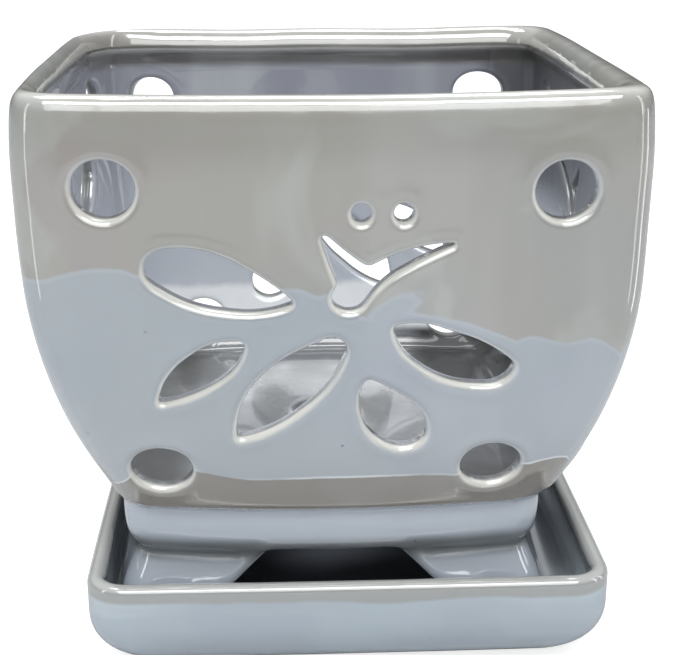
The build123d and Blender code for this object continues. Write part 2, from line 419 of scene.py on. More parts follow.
def evenLoop(points, spacing, relaxes):
    # Evenly spaced points round a closed line, hole on the left, with its corners eased
    following = np.roll(points, -1, 0)
    if (points[:, 0] * following[:, 1] - points[:, 1] * following[:, 0]).sum() < 0:
        points = points[::-1]
    loop = np.vstack([points, points[:1]])
    length = alongLine(loop)[-1]
    count = ceil(length / spacing)
    line = pointsAlong(loop, np.arange(count) * length / count)
    for _ in range(relaxes):
        line = (np.roll(line, 1, 0) + 2 * line + np.roll(line, -1, 0)) / 4
    return line


def slotLine(shares):
    f = slotForm
    points = [(f["flowerAcross"] + across * f["flowerWidth"], f["flowerLow"] + up * f["flowerTall"])
              for across, up in shares]
    points.append(points[0])
    arcs = [arcThrough(*points[start:start + 3]) for start in range(0, len(shares), 2)]
    return evenLoop(np.vstack(arcs), f["spacing"], f["relaxes"])


def roundLine(across, level, width, tall, spacing):
    turns = np.linspace(0, 2 * pi, 240, endpoint=False)
    points = np.stack([across + width / 2 * np.cos(turns), level + tall / 2 * np.sin(turns)], 1)
    return evenLoop(points, spacing, 0)


def openingLines():
    f = slotForm
    lines = [slotLine(shares) for shares in petalShares.values()]
    for number, side in enumerate((-1, 1)):
        width, across, levels = f["rimHole"]
        lines.append(roundLine(side * across, levels[number], width, width, f["spacing"]))
        width, tall, middles, level = f["baseHole"]
        lines.append(roundLine(middles[number], level, width, tall, f["spacing"]))
        width, middle, apart, level = f["beadHole"]
        lines.append(roundLine(middle + side * apart / 2, level, width, width, f["dotSpacing"]))
    return lines


def intoClay(line, closed=True):
    # Unit directions square to the line, away from the opening
    if closed:
        ahead = np.roll(line, -1, 0) - np.roll(line, 1, 0)
    else:
        ahead = np.gradient(line, axis=0)
    return np.stack([ahead[:, 1], -ahead[:, 0]], 1) / np.hypot(*ahead.T)[:, None]


def roundingAlong(line, wish):
    # The melted edge is tighter where the clay between two cuts comes to a point
    s = slotForm
    before, after = line - np.roll(line, 1, 0), np.roll(line, -1, 0) - line
    turn = np.arctan2(before[:, 0] * after[:, 1] - before[:, 1] * after[:, 0], (before * after).sum(1))
    tight = s["pointShare"] * np.hypot(*after.T) / np.maximum(-turn, s["flatTurn"])
    room = np.minimum(np.where(turn < -s["flatTurn"], tight, wish), wish)
    for _ in range(3):
        room = np.minimum(room, np.minimum(np.roll(room, 1), np.roll(room, -1)) + s["easeStep"])
    return (np.roll(room, 1) + room + np.roll(room, -1)) / 3


def filletLine(corners, rounds):
    # Straight runs joined by arcs
    corners = [np.array(corner, float) for corner in corners]
    points = [corners[0][None]]
    for before, at, after, radius in zip(corners, corners[1:], corners[2:], rounds):
        back, ahead = (step / np.hypot(*step) for step in (before - at, after - at))
        half = np.arccos(np.clip(back @ ahead, -1, 1)) / 2
        centre = at + (back + ahead) / np.hypot(*(back + ahead)) * radius / sin(half)
        start, end = (at + way * radius / np.tan(half) - centre for way in (back, ahead))
        begin = atan2(start[1], start[0])
        sweep = (atan2(end[1], end[0]) - begin + pi) % (2 * pi) - pi
        angles = begin + sweep * np.linspace(0, 1, 13)
        points.append(centre + radius * np.stack([np.cos(angles), np.sin(angles)], 1))
    points.append(corners[-1][None])
    return np.vstack(points)


def footLine():
    # From the right end of the front side, under the foot and up over the arch to the left end, with the
    # share of the way from where the sole starts out to the corner
    f, a = potForm, archForm
    sole, top = f["footLevel"], f["footLevel"] + a["rise"]
    shelf, jamb = sole + a["shelfRise"], a["width"] / 2
    bend = jamb - a["shelf"]
    start = jamb + a["soleCorner"] + a["soleRun"]
    end = sideEdge(outerWall, sole)
    right = [(start, sole), (jamb, sole), (jamb, shelf), (bend, shelf), (bend - a["slope"], top)]
    left = [(-across, level) for across, level in reversed(right)]
    rounds = [a["soleCorner"], a["footRound"], a["shelfRound"], a["topRound"]]
    middle = filletLine(right + left, rounds + rounds[::-1])
    length = alongLine(middle)[-1]
    middle = pointsAlong(middle, np.linspace(0, length, ceil(length / a["spacing"]) + 1))
    steps = ceil((end - start) / a["soleSpacing"])
    out = np.arange(steps, 0, -1) / steps
    arm = np.stack([start + out * (end - start), np.full(steps, sole)], 1)
    line = np.vstack([arm, middle, arm[::-1] * (-1, 1)])
    shares = np.concatenate([out, np.zeros(len(middle)), out[::-1]])
    return line, shares, start


def footFlat(wall, flat, shares, start):
    # The sole's points spread out to the wall's own corner
    edge = sideEdge(wall, flat[:, 1])
    across = np.where(shares > 0, np.sign(flat[:, 0]) * (start + shares * (edge - start)), flat[:, 0])
    return np.stack([across, flat[:, 1]], 1)


def edgeBand(shell, outer, inner, deep, roundOut, roundIn, closed, sole, under):
    # From the outside over the melted edge, through the wall and out inside
    rows, edge, innerShare = [], [], []
    for away, depth in quarterRound(roundOut, np.radians(np.linspace(0, 90, meshForm["edgeSteps"] + 1))):
        rows.append(outer(away) + deep * depth[:, None])
        edge.append(away)
        innerShare.append(0.0)
    first, last = rows[-1], inner(0 * roundIn) - deep * roundIn[:, None]
    for share in np.linspace(0, 1, meshForm["tunnelSteps"] + 1)[1:-1]:
        rows.append(first + (last - first) * share)
        edge.append(0 * roundOut)
        innerShare.append(share)
    for depth, away in quarterRound(roundIn, np.radians(np.linspace(0, 90, meshForm["edgeSteps"]))):
        rows.append(inner(away) - deep * depth[:, None])
        edge.append(away)
        innerShare.append(1.0)
    count = len(rows[0])
    edge = np.concatenate(edge)
    bare = np.tile(np.broadcast_to(sole, count), len(rows)) * (edge < archForm["soleBare"])
    shell.add(np.vstack(rows), quadsBetween(rows, closed), edge=edge, under=np.tile(under, len(rows)),
              inner=np.repeat(innerShare, count), sole=bare)


def insideLine(points, line):
    # Whether each point lies inside a closed line
    x, y = points[:, 0][:, None], points[:, 1][:, None]
    x1, y1 = line.T
    x2, y2 = np.roll(line, -1, 0).T
    crossing = (y1 > y) != (y2 > y)
    with np.errstate(divide="ignore", invalid="ignore"):
        at = x1 + (y - y1) * (x2 - x1) / (y2 - y1)
    return (crossing & (x < at)).sum(1) % 2 == 1


def nearest(points, others):
    # Distance from each point to the closest of the others, and which one that is
    away, which = np.full(len(points), 1e3), np.zeros(len(points), int)
    for start in range(0, len(others), 400):
        some = others[start:start + 400]
        gaps = np.hypot(points[:, 0][:, None] - some[:, 0], points[:, 1][:, None] - some[:, 1])
        closer = gaps.min(1) < away
        which = np.where(closer, start + gaps.argmin(1), which)
        away = np.minimum(away, gaps.min(1))
    return away, which


def levelsBetween(low, high):
    # Rows of a wall, closer together where it curves quickly
    f, m = potForm, meshForm
    levels = [low]
    while levels[-1] < high:
        fine = f["waistLevel"] - m["finePast"][0] < levels[-1] < f["bowlLevel"] + m["finePast"][1]
        levels.append(levels[-1] + (m["fineRowStep"] if fine else m["rowStep"]))
    if high - levels[-2] < m["rowStep"] / 2:
        levels.pop()
    levels[-1] = high
    return np.array(levels)


def sheet(shell, wall, levels, openings, wish, foot, inner):
    # One side of a wall from the lowest to the highest level, cut by the openings
    m = meshForm
    columns = [sideAcross(wall, level) for level in levels]
    edges = sideEdge(wall, levels)
    low, top = (np.column_stack([columns[row], np.full(len(columns[row]), levels[row])]) for row in (0, -1))
    right = np.stack([edges, levels], 1)[-2:0:-1]
    left = np.stack([-edges, levels], 1)[1:-1]
    ways = [(line, intoClay(line), roundingAlong(line, wish), None) for line in openings]
    low = low[::-1]
    if foot:
        line, normals, away, soleShares, start = foot
        low = footFlat(wall, line + normals * away[:, None], soleShares, start)
        ways.append((footFlat(wall, line, soleShares, start), normals, away,
                     slice(m["footSkip"], -m["footSkip"])))
    border = np.vstack([top, right, low, left])
    loops, rings = [border], []
    for line, normals, away, some in ways:
        if some is None:
            loops.append(line + normals * away[:, None])
        for number, further in enumerate(m["ringSteps"]):
            points = (line + normals * (away + further)[:, None])[some or slice(None)][::1 + (number > 1)]
            rings.append((points, (wish + further) * m["ringClear"], m["ringBorder"]))
    outlines = np.vstack([way[0] for way in ways])
    net = np.stack([np.concatenate([line[1:-1] for line in columns[1:-1]]),
                    np.repeat(levels[1:-1], len(columns[0]) - 2)], 1)
    rings.append((net, wish + m["ringSteps"][-1] + m["netClear"], m["netBorder"]))
    keep = []
    for points, fromEdge, fromBorder in rings:
        clear = (nearest(points, outlines)[0] > fromEdge) & (nearest(points, border)[0] > fromBorder)
        keep.append(points[clear & insideLine(points, border)])
    joins, size = [], 0
    for loop in loops:
        steps = np.arange(len(loop))
        joins.append(np.stack([steps, (steps + 1) % len(loop)], 1) + size)
        size += len(loop)
    given = np.vstack(loops + keep)
    made, _, faces, sources, _, _ = delaunay_2d_cdt(given.tolist(), np.vstack(joins).tolist(), [], 0, 1e-6)
    flat = np.array([given[source[0]] if source else tuple(place) for place, source in zip(made, sources)])
    faces = np.array(faces)
    middles = flat[faces].mean(1)
    solid = insideLine(middles, border)
    for loop in loops[1:]:
        solid &= ~insideLine(middles, loop)
    away, which = nearest(flat, outlines)
    under = (flat - outlines[which]) @ slotForm["gatherAndLitSide"] / np.maximum(away, 0.1)
    shell.add(sidePoints(wall, flat), faces[solid], edge=np.minimum(away, m["farAway"]), under=under,
              inner=inner)


def potQuarter():
    # The front side, out to the middles of its corners
    f, a, s = potForm, archForm, slotForm
    shell = Shell()
    openings = openingLines()
    depth = np.array([0.0, 1.0, 0.0])
    for line in openings:
        normals = intoClay(line)
        edgeBand(shell,
                 lambda away: sidePoints(outerWall, line + normals * away[:, None]),
                 lambda away: sidePoints(spaceWall, line + normals * away[:, None]),
                 np.tile(depth, (len(line), 1)), roundingAlong(line, s["edgeRound"]),
                 roundingAlong(line, s["edgeRoundInside"]), True, 0.0, normals @ s["gatherAndLitSide"])
    line, shares, start = footLine()
    normals = intoClay(line, False)
    normals[shares > 0] = (0, 1)
    flatSole = smoothStep(f["footLevel"] + a["soleCorner"], f["footLevel"], line[:, 1])
    outWish = s["edgeRound"] + (a["soleRound"] - s["edgeRound"]) * flatSole
    inWish = s["edgeRoundInside"] + (a["soleRoundInside"] - s["edgeRoundInside"]) * flatSole

    def outer(away):
        return sidePoints(outerWall, footFlat(outerWall, line + normals * away[:, None], shares, start))

    def inner(away):
        return sidePoints(hollowWall, footFlat(hollowWall, line + normals * away[:, None], shares, start))

    across = inner(0 * inWish) - outer(0 * inWish)
    across /= np.linalg.norm(across, axis=1)[:, None]
    edgeBand(shell, outer, inner, across, outWish, inWish, False, flatSole, -1.0 + 0 * inWish)
    levels = levelsBetween(f["footLevel"] + a["soleRound"], f["rimLevel"] - rimForm["outline"][0][1])
    sheet(shell, outerWall, levels, openings, s["edgeRound"], (line, normals, outWish, shares, start), 0.0)
    levels = levelsBetween(f["spaceLevel"], f["rimLevel"] - rimForm["outline"][-1][1])
    sheet(shell, spaceWall, levels, openings, s["edgeRoundInside"], None, 1.0)
    levels = levelsBetween(f["footLevel"] + a["soleRoundInside"], f["hollowLevel"])
    sheet(shell, hollowWall, levels, [], s["edgeRoundInside"], (line, normals, inWish, shares, start), 1.0)
    return shell


def easedLine(points, count, relaxes):
    # An open line, evenly spaced and eased, with its ends kept
    points = np.array(points, float)
    line = pointsAlong(points, np.linspace(0, alongLine(points)[-1], count))
    for _ in range(relaxes):
        line[1:-1] = (line[:-2] + 2 * line[1:-1] + line[2:]) / 4
    return line


def toCircle(square, radius, share):
    # Between a squarish ring and a circle
    circle = square.copy()
    circle[:, :2] *= (radius / np.hypot(square[:, 0], square[:, 1]))[:, None]
    return square + (circle - square) * share


def potRound():
    # What runs all the way round: the rim, the floor with its cove and drain, and the ceiling underneath
    f, r = potForm, rimForm
    shell = Shell()
    rows, crests, inner = [], [], []
    for inset, down in easedLine(r["outline"], r["steps"], r["relaxes"]):
        level = f["rimLevel"] - down
        slip = smoothStep(*r["mouthIn"], inset) * smoothStep(*r["mouthDown"], down)
        corner = bowlCorner(level) - inset + r["mouthCorner"] * slip
        rows.append(ring(outerHalf(level) - inset, corner, level, outerBow(level), -r["mouthSlip"] * slip))
        gaps = [np.hypot(inset - across, down - below) / r["crestReach"] for across, below in r["crests"]]
        crests.append(sum(np.exp(-gap ** 2) for gap in gaps))
        within = inset > r["insideFrom"][0] and down > r["insideFrom"][1]
        inner.append(1.0 if within else smoothStep(*r["insideFade"], inset))
    shell.strip(rows, crest=crests, inner=inner)

    rows = []
    radius, far = f["drainRadius"], meshForm["farAway"]
    depth = f["floorLevel"] + f["floorCove"] - f["spaceLevel"]
    turns = np.linspace(np.arcsin(depth / f["floorCove"]), pi / 2, meshForm["coveSteps"])
    for climb, _ in quarterRound(f["floorCove"], turns):
        level = f["floorLevel"] + climb
        half, corner, bow = (spaceWall[part](level) for part in ("half", "corner", "bow"))
        rows.append(ring(half, corner, level, bow))
    square = rows[-1]
    shares = np.linspace(0, 1, meshForm["floorRings"])[1:]
    rows += [toCircle(square, radius + f["drainRound"], share) for share in shares]
    top = toCircle(square, 1.0, 1.0)
    edge = [far] * (len(rows) - 1) + [f["drainRound"]]
    turns = np.radians(np.linspace(0, 90, meshForm["drainSteps"]))
    for away, drop in quarterRound(f["drainRound"], turns[1:]):
        rows.append(top * (radius + away, radius + away, 1) - (0, 0, drop))
        edge.append(away)
    for away, climb in quarterRound(f["drainRound"], turns[::-1]):
        rows.append(top * (radius + away, radius + away, 0) + (0, 0, f["underLevel"] + climb))
        edge.append(away)
    wall, corner, bow = (hollowWall[part](f["hollowLevel"]) for part in ("half", "corner", "bow"))
    coves = [ring(wall - tuck, corner - f["coveCornerShare"] * tuck, f["underLevel"] - drop, bow)
             for drop, tuck in quarterRound(f["underCove"], np.linspace(pi / 2, 0, meshForm["coveSteps"]))]
    ceiling = [toCircle(coves[0], radius + f["drainRound"], share) for share in shares[-2::-1]]
    rows += ceiling + coves + [ring(wall, corner, f["hollowLevel"], bow)]
    edge += [far] * (len(ceiling) + len(coves) + 1)
    shell.strip(rows, edge=edge, inner=1.0)
    return shell


def writeMark(mesh, name, values):
    layer = mesh.attributes.new(name, "FLOAT", "POINT")
    layer.data.foreach_set("value", np.ascontiguousarray(values, dtype=np.float32))


def numbersOf(source, key, wide=1):
    # What Blender keeps for each point, as an array
    values = np.zeros(len(source) * wide, np.float32)
    source.foreach_get(key, values)
    return values if wide == 1 else values.reshape(-1, wide).astype(float)


def placesOf(mesh):
    return numbersOf(mesh.vertices, "co", 3)


def gather(name, shells):
    # One welded mesh, still in millimetres
    points = np.vstack([np.vstack(shell.points) for shell in shells])
    values = np.vstack([np.vstack(shell.values) for shell in shells])
    faces, size = [], 0
    for shell in shells:
        faces += [tuple(v + size for v in face) for face in shell.faces]
        size += shell.size
    mesh = bpy.data.meshes.new(name)
    mesh.from_pydata(points.tolist(), [], faces)
    for column, mark in enumerate(Shell.marks):
        writeMark(mesh, mark, values[:, column])
    made = bmesh.new()
    made.from_mesh(mesh)
    bmesh.ops.remove_doubles(made, verts=made.verts, dist=meshForm["weld"])
    bmesh.ops.recalc_face_normals(made, faces=made.faces)
    loose = sum(len(edge.link_faces) != 2 for edge in made.edges)
    report(f"{name}: {len(made.verts)} points, {len(made.faces)} faces, {loose} open edges")
    made.to_mesh(mesh)
    made.free()
    mesh.shade_smooth()
    return mesh


def placed(name, data):
    # A new object in the scene
    made = bpy.data.objects.new(name, data)
    bpy.context.scene.collection.objects.link(made)
    return made


def setPlaces(mesh, places):
    # Millimetres into metres
    mesh.vertices.foreach_set("co", (places * mm).astype(np.float32).ravel())
    mesh.update()


def swollen(mesh, places):
    # The glaze gathers in a soft ring round each opening
    s = slotForm
    edge, inner = (numbersOf(mesh.attributes[mark].data, "value") for mark in ("edge", "inner"))
    bump = np.exp(-((edge - s["swellPlace"]) / s["swellReach"]) ** 2) * (1 - inner * s["swellInside"])
    return places + numbersOf(mesh.vertex_normals, "vector", 3) * (s["swell"] * bump)[:, None]


unevenForm = {
    "seed": 11,
    "waves": [(150.0, 0.08), (70.0, 0.05), (34.0, 0.02)],      # length, how far in or out
    "wavesUp": (60.0, 150.0),        # the waves grow between these levels
    "shrink": 0.9974,
    "settle": 0.02,          # how much lower the rim stands after firing
    "sag": 1.5,              # how far the rim hangs at the middle of each side
    "sagFrom": (139.0, 157.0),
    "cornersRise": (0.85, 1.5),      # the left and right corners over the middle
    "cornersPower": (4, 2.2),        # how close to its corner each rises
    "sideShare": 0.35,       # how much of that the middles of the left and right sides share
    "backWave": (0.16, 9.0, 1.3),    # along the back of the rim: depth, waves, where they begin
    "backWaveIn": (0.3, 0.9),
    "lean": 1.37,            # how far the bowl's lower edge sits to the right of the bead
    "leanTop": 125.0,
    "leanSoft": 0.6,
    "leanFrom": (50.0, 64.0),        # the front's openings stay where they are, its corners lean
    # How far the sides stand out past an even square, and where: the back corners, the rim, the belly
    "stretches": [
        (3.6, ("level", 90.0, 140.0), ("back", -0.2, 1.0), ("out", 0.6, 0.95)),
        (1.4, ("level", 110.0, 155.0), ("out", 0.5, 0.9)),
        (0.8, ("level", 40.0, 75.0), ("level", 140.0, 105.0), ("out", 0.5, 0.8)),
    ],
    "widest": 79.9,
    "leastSpare": 0.05,
    # How far the back's openings sit to the left, and where
    "backShift": [(1.4, ("level", 60.0, 150.0), ("back", 0.6, 0.8), ("out", 0.88, 0.75))],
    "backRound": (5.4, 0.6),         # how far the back corners are cut off, left and right
    "backRoundFrom": (1.52, 1.9),
    "backRoundUp": (60.0, 148.0),
}


def faded(rows, by):
    # The sum of all amounts, each faded in along what its steps name
    return sum(amount * np.prod([smoothStep(low, high, by[name]) for name, low, high in steps], axis=0)
               for amount, *steps in rows)


def handMade(places):
    # The wall isn't quite even, the rim hangs between its corners, and the bowl leans on its foot
    f = unevenForm
    x, y, z = places.T
    draw = np.random.default_rng(f["seed"])
    high = smoothStep(*f["wavesUp"], z)
    bulge = np.zeros(len(places))
    for length, deep in f["waves"]:
        way = draw.normal(size=3)
        way /= np.linalg.norm(way)
        bulge += deep * np.sin(places @ way / length * 2 * pi + draw.uniform(0, 2 * pi))
    half = potForm["bowlWidth"] / 2
    scale = f["shrink"] * (1 + bulge * high / half)
    u, v = np.clip(x / half, -1, 1), np.clip(y / half, -1, 1)
    by = {"level": z, "back": v, "out": np.abs(u)}
    (left, right), (leftPower, rightPower) = f["cornersRise"], f["cornersPower"]
    corners = left * np.maximum(-u, 0) ** leftPower + right * np.maximum(u, 0) ** rightPower
    tall, count, turn = f["backWave"]
    rise = corners * (f["sideShare"] + (1 - f["sideShare"]) * v ** 2) - f["sag"]
    rise += tall * (np.sin(u * count + turn) - 1) * smoothStep(*f["backWaveIn"], v)
    base, soft = potForm["bowlLevel"], f["leanSoft"]
    lean = f["lean"] * np.clip((f["leanTop"] - z) / (f["leanTop"] - base), 0, 1)
    lean = lean * smoothStep(base - soft, base + soft, z) * smoothStep(*f["leanFrom"], np.abs(x))
    across = x * scale + lean - faded(f["backShift"], by)
    spare = np.maximum(f["widest"] - np.abs(across), 0)
    spread = 1 - np.exp(-faded(f["stretches"], by) / np.maximum(spare, f["leastSpare"]))
    across += np.sign(across) * spare * spread
    cut = np.where(u < 0, *f["backRound"]) * smoothStep(*f["backRoundFrom"], np.abs(u) + v)
    cut = cut * smoothStep(*f["backRoundUp"], z)
    across = np.clip(across, -f["widest"], f["widest"]) - np.sign(u) * cut
    deep = np.clip(y * scale, -f["widest"], f["widest"]) - cut
    return np.stack([across, deep, z + rise * smoothStep(*f["sagFrom"], z) - f["settle"] * high], 1)


# Where the two glazes meet: how far along each side from its middle, and the level there
glazeForm = {
    "half": 80.0,
    "front": [(-80.0, 114.2), (-72.6, 114.5), (-67.1, 115.9), (-59.2, 117.8), (-51.0, 117.7), (-47.9, 116.2),
              (-39.4, 114.3), (-28.6, 112.8), (-8.9, 112.7), (-4.8, 110.6), (1.2, 112.8), (4.4, 106.0),
              (8.3, 104.2), (17.1, 106.6), (25.5, 104.8), (33.5, 102.7), (41.9, 99.2), (45.8, 97.3),
              (46.4, 99.5), (50.0, 98.8), (56.9, 96.5), (62.9, 98.4), (67.0, 96.0), (73.4, 90.2),
              (80.0, 93.4)],
    "right": [(-80.0, 93.4), (-66.0, 97.0), (-34.0, 101.5), (-6.0, 99.0), (24.0, 104.0), (52.0, 108.5),
              (80.0, 111.0)],
    "back": [(-80.0, 111.0), (-44.0, 115.5), (-8.0, 112.0), (36.0, 117.0), (80.0, 115.0)],
    "left": [(-80.0, 115.0), (-46.0, 112.5), (-4.0, 113.5), (40.0, 116.0), (80.0, 114.2)],
    "tongue": (14.2, 107.0, 8.0, 3.1, 0.5),      # middle, level, half length, half width, slope
    "steps": 641,            # points along each line, and how many of them its rounding spans
    "window": 21,
    "baseBand": [(-80.0, 52.0), (-58.0, 53.5), (-52.0, 59.5), (-36.0, 60.5), (-30.0, 58.6), (-22.0, 57.4),
                 (0.0, 57.9), (24.0, 58.0), (40.0, 57.2), (50.0, 60.2), (57.5, 61.6), (61.5, 60.0),
                 (63.5, 54.0), (80.0, 52.0)],
    "reach": 20.0,           # heights over a line are told up to here
}


def easedLevel(place, knots):
    # The line through the knots with its corners rounded
    g = glazeForm
    steps = np.linspace(-g["half"], g["half"], g["steps"])
    window = np.hanning(g["window"] + 2)
    reach = (len(window) - 1) // 2
    line = np.pad(np.interp(steps, *np.array(knots).T), reach, mode="edge")
    line = np.convolve(line, window / window.sum(), "valid")
    return np.interp(place, steps, line)


def markGlaze(mesh):
    # How far each point lies above the meeting of the two glazes and above the band round the bowl's base
    g = glazeForm
    x, y, z = placesOf(mesh).T
    quarters = np.where(np.abs(y) >= np.abs(x), np.where(y < 0, 0, 2), np.where(x > 0, 1, 3))
    across = np.choose(quarters, [x, y, -x, -y])
    wide = np.clip(outerHalf(z), potForm["waistWidth"] / 2, g["half"])
    meeting = easedLevel(across, g["front"])
    for quarter, side in enumerate(("right", "back", "left"), 1):
        meeting = np.where(quarters == quarter, easedLevel(across * g["half"] / wide, g[side]), meeting)
    rise = z - meeting
    middle, level, long, thick, slope = g["tongue"]
    along = (across - middle) * cos(slope) + (z - level) * sin(slope)
    off = (z - level) * cos(slope) - (across - middle) * sin(slope)
    tongue = (np.hypot(along / long, off / thick) - 1) * thick
    rise = np.where(quarters == 0, np.minimum(rise, tongue), rise)
    band = z - easedLevel(across, g["baseBand"])
    writeMark(mesh, "meeting", np.clip(rise, -g["reach"], g["reach"]))
    writeMark(mesh, "band", np.clip(band, -g["reach"], g["reach"]))


def makePot():
    quarter = potQuarter()
    report("walls and openings drawn")
    mesh = gather("pot", [quarter.turnedBy(quarters) for quarters in range(4)] + [potRound()])
    markGlaze(mesh)
    setPlaces(mesh, handMade(swollen(mesh, placesOf(mesh))))
    pot = placed("potBody", mesh)
    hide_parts("pot")
    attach(pot, "pot")
    return pot


saucerForm = {
    "middle": (saucerLow.x + saucerHigh.x) / 2,
    "half": (saucerHigh.x - saucerLow.x) / 2,
    "height": saucerHigh.z,
    "corner": 11.0,
    "floor": 7.0,
    "wall": 4.8,
    "belly": 17.0,           # the rounding underneath, all round
    "lip": 2.2,
    "cove": 6.0,
    "coveCornerShare": 0.6,
    "ring": 9.0,             # the foot ring's width, and the hollow inside it
    "hollow": 1.2,
    "ringEdge": [(1.2, 1.2), (0.6, 0.9), (0.2, 0.35), (-0.4, 0.05), (-1.4, 0.0)],    # inward, level
    "ringGap": 2.0,
    "bow": 0.5,
    "shrink": 0.9996,
    "centre": 6.0,           # half the smallest square before each face closes
    "steps": (6, 19, 5, 8, 8, 9, 12),        # rows underneath, on belly, side, lip, wall, cove and floor
}


def saucerOutline():
    # From the middle underneath, out over the belly and the rim, and in across the floor: how far in,
    # level, corner radius
    f = saucerForm
    deep, corner, recess = f["belly"] + f["ring"], f["corner"], f["corner"] - f["wall"]
    lipLevel, coveShare = f["height"] - f["lip"], f["coveCornerShare"]
    insets = np.linspace(f["half"] - f["centre"], deep + f["ringGap"], f["steps"][0])
    turns = {steps: np.radians(np.linspace(0, 90, steps)) for steps in f["steps"]}
    belly, side, lip, wall, cove, floor = f["steps"][1:]
    rows = [(inset, f["hollow"], corner / 2) for inset in insets]
    rows += [(deep + away, level, corner / 2) for away, level in f["ringEdge"]]
    rows += [(inset, level, corner) for inset, level in quarterRound(f["belly"], turns[belly])]
    rows += [(0.0, level, corner) for level in np.linspace(f["belly"], lipLevel, side)[1:]]
    rows += [(tuck, lipLevel + f["lip"] - drop, corner - tuck)
             for drop, tuck in quarterRound(f["lip"], turns[lip][1:])]
    rows += [(f["wall"] - tuck, lipLevel + f["lip"] - drop, recess + tuck)
             for drop, tuck in quarterRound(f["lip"], turns[lip][::-1])]
    rows += [(f["wall"], level, recess) for level in np.linspace(lipLevel, f["floor"] + f["cove"], wall)[1:]]
    rows += [(f["wall"] + tuck, f["floor"] + climb, recess - coveShare * tuck)
             for climb, tuck in quarterRound(f["cove"], turns[cove][1:])]
    rows += [(inset, f["floor"], recess - coveShare * f["cove"])
             for inset in np.linspace(f["wall"] + f["cove"] + f["ringGap"], f["half"] - f["centre"], floor)]
    return rows


def makeSaucer():
    f = saucerForm
    shell = Shell()
    rows = [ring(f["half"] - inset, corner, level, f["bow"], f["middle"])
            for inset, level, corner in saucerOutline()]
    shell.strip(rows)
    count = len(rows[0])
    for row in (rows[0], rows[-1]):
        start = shell.size
        shell.add(np.vstack([row, row.mean(0)]), np.zeros((0, 3), int))
        shell.faces += [(start + step, start + (step + 1) % count, start + count) for step in range(count)]
    mesh = gather("saucer", [shell])
    places = placesOf(mesh)
    middle = np.array([f["middle"], 0, 0])
    setPlaces(mesh, middle + (places - middle) * (f["shrink"], f["shrink"], 1))
    saucer = placed("saucerBody", mesh)
    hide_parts("saucer")
    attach(saucer, "saucer")
    return saucer


class Nodes:
    # Adds to one tree of nodes: most methods add a node and give back its output
    def __init__(self, tree):
        self.tree = tree

    def add(self, kind, output, plugs, **settings):
        node = self.tree.nodes.new(kind)
        for name, value in settings.items():
            setattr(node, name, value)
        for socket, value in plugs.items():
            self.plug(node.inputs[socket], value)
        return node.outputs[output]

    def plug(self, socket, value):
        if isinstance(value, bpy.types.NodeSocket):
            self.tree.links.new(value, socket)
        else:
            socket.default_value = value

    def fade(self, value, low, high, start=0.0, end=1.0):
        # Smoothly from start to end while the value goes from low to high
        if low > high:
            low, high, start, end = high, low, end, start
        return self.add("ShaderNodeMapRange", "Result",
                        {"Value": value, "From Min": low, "From Max": high, "To Min": start, "To Max": end},
                        interpolation_type="SMOOTHSTEP")

    def colour(self, factor, first, second):
        # From the first colour to the second as the factor goes from 0 to 1
        plugs = {socket: (*value, 1.0) if isinstance(value, tuple) else value
                 for socket, value in zip((0, 6, 7), (factor, first, second))}
        return self.add("ShaderNodeMix", 2, plugs, data_type="RGBA")

    def layered(self, body, *layers):
        # Colours laid over one another, each as strongly as its factor says
        for factor, shown in layers:
            body = self.colour(factor, body, shown)
        return body


class Paint(Nodes):
    # The nodes of one material
    def __init__(self, name):
        self.material = bpy.data.materials.new(name)
        self.material.use_nodes = True
        super().__init__(self.material.node_tree)
        self.shader = self.tree.nodes["Principled BSDF"]
        self.place = self.add("ShaderNodeTexCoord", "Object", {})
        self.across, self.deep, self.level = (
            self.add("ShaderNodeSeparateXYZ", way, {0: self.place}) for way in "XYZ")

    def attribute(self, name):
        return self.add("ShaderNodeAttribute", "Fac", {}, attribute_name=name)

    def sum(self, operation, first, second=0.0):
        return self.add("ShaderNodeMath", 0, {0: first, 1: second}, operation=operation)

    def plus(self, first, second):
        return self.sum("ADD", first, second)

    def times(self, first, *others):
        for other in others:
            first = self.sum("MULTIPLY", first, other)
        return first

    def most(self, first, second):
        return self.sum("MAXIMUM", first, second)

    def off(self, value, middle=0.0):
        # How far a value is from the middle
        return self.sum("ABSOLUTE", self.sum("SUBTRACT", value, middle))

    def noise(self, scale, detail=2.0, roughness=0.5, stretch=None, distortion=0.0):
        place = self.place
        if stretch:
            place = self.add("ShaderNodeMapping", "Vector", {"Vector": place, "Scale": stretch})
        return self.add("ShaderNodeTexNoise", 0, {"Vector": place, "Scale": scale, "Detail": detail,
                        "Roughness": roughness, "Distortion": distortion})

    def wander(self, amount, *grain):
        # Noise to both sides of nought
        return self.times(self.sum("SUBTRACT", self.noise(*grain), 0.5), amount)

    def specks(self, scale, radius, where):
        # Round specks, one in some cells, in drifts
        cells = self.add("ShaderNodeTexVoronoi", "Distance", {"Vector": self.place, "Scale": scale})
        return self.times(self.fade(cells, radius, radius * 0.4), self.fade(self.noise(where), 0.56, 0.62))

    def bump(self, height, distance, below=None):
        plugs = {"Height": height, "Distance": distance, "Strength": 1.0}
        if below:
            plugs["Normal"] = below
        return self.add("ShaderNodeBump", 0, plugs)

    def finish(self, colour, normal, roughness, **settings):
        sockets = {"Base Color": colour, "Normal": normal, "Roughness": roughness, **settings}
        for name, value in sockets.items():
            self.plug(self.shader.inputs[name], value)
        return self.material


def fromScreen(red, green, blue):
    # A colour as a screen shows it, 0 to 255, into linear light
    return tuple(((c / 255 + 0.055) / 1.055) ** 2.4 if c > 10 else c / 3294.6 for c in (red, green, blue))


def inLight(colours):
    return {name: fromScreen(*shown) for name, shown in colours.items()}


